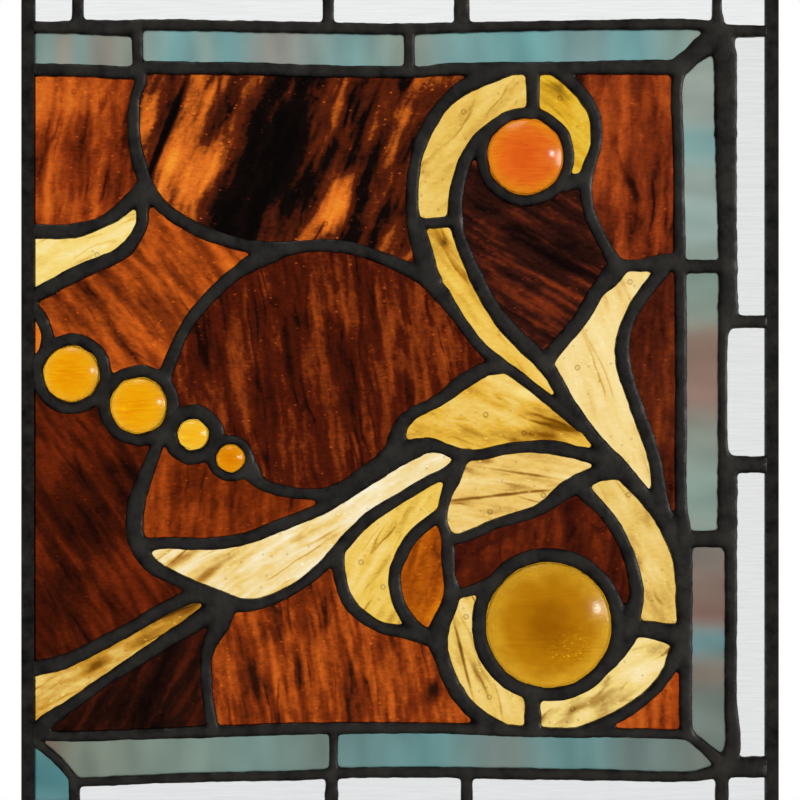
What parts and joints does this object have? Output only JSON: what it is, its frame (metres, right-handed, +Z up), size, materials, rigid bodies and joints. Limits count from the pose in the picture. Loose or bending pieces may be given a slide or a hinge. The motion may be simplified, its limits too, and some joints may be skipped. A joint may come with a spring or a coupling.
{
  "type": "stained glass panel",
  "caption": "Leaded stained glass panel with an amber and yellow acanthus scroll, round pressed jewels, and a border of grey-blue and clear glass",
  "frame": {"origin": "centre of the underside of the sill came, which stands on the foot of the glazing rebate", "axes": "+Z up, +X to the right seen from the jewelled face, -Y out of the jewelled face"},
  "size_m": [0.3768, 0.0142, 0.4127],
  "materials": {
    "lead": "lead came with black patina, soft sheen",
    "clear_glass": "clear drawn sheet glass with faint ripples",
    "blue_opal_glass": "grey-blue streaky opalescent glass",
    "amber_glass": "dark amber streaky cathedral glass",
    "yellow_glass": "straw yellow streaky glass with seeds",
    "orange_jewel_glass": "pressed orange jewel, glossy",
    "gold_jewel_glass": "pressed golden jewel, glossy",
    "honey_jewel_glass": "pressed honey jewel, glossy"
  },
  "bodies": {
    "root": {"amber_bottom_left": "amber_glass", "amber_bottom_middle": "amber_glass", "amber_corner": "amber_glass", "amber_crescent": "amber_glass", "amber_disc": "amber_glass", "amber_leaf_pocket": "amber_glass", "amber_left": "amber_glass", "amber_mid_left": "amber_glass", "amber_right_sliver": "amber_glass", "amber_scroll_heart": "amber_glass", "amber_top_left": "amber_glass", "amber_top_middle": "amber_glass", "amber_top_right": "amber_glass", "amber_under_beads": "amber_glass", "bead_1": "gold_jewel_glass", "bead_2": "gold_jewel_glass", "bead_3": "gold_jewel_glass", "bead_4": "gold_jewel_glass", "blue_bottom_1": "blue_opal_glass", "blue_bottom_2": "blue_opal_glass", "blue_left_drop": "blue_opal_glass", "blue_right_1": "blue_opal_glass", "blue_right_2": "blue_opal_glass", "blue_right_3": "blue_opal_glass", "blue_top_1": "blue_opal_glass", "blue_top_2": "blue_opal_glass", "blue_top_3": "blue_opal_glass", "clear_bottom_1": "clear_glass", "clear_bottom_2": "clear_glass", "clear_bottom_3": "clear_glass", "clear_bottom_corner": "clear_glass", "clear_right_1": "clear_glass", "clear_right_2": "clear_glass", "clear_right_3": "clear_glass", "clear_top_1": "clear_glass", "clear_top_2": "clear_glass", "clear_top_3": "clear_glass", "clear_top_4": "clear_glass", "clear_top_corner": "clear_glass", "edge_came_head": "lead", "edge_came_left": "lead", "edge_came_right": "lead", "edge_came_sill": "lead", "jewel_edge": "orange_jewel_glass", "jewel_ring": "honey_jewel_glass", "jewel_scroll": "orange_jewel_glass", "lead_matrix": "lead", "leaf_crest": "yellow_glass", "leaf_curl": "yellow_glass", "leaf_long": "yellow_glass", "leaf_lower_left": "yellow_glass", "leaf_middle": "yellow_glass", "leaf_right": "yellow_glass", "leaf_upper_left": "yellow_glass", "ring_bottom": "yellow_glass", "ring_left": "yellow_glass", "ring_right": "yellow_glass", "scroll_crown": "yellow_glass", "scroll_tip": "yellow_glass", "stem": "yellow_glass"}
  },
  "joints": []
}
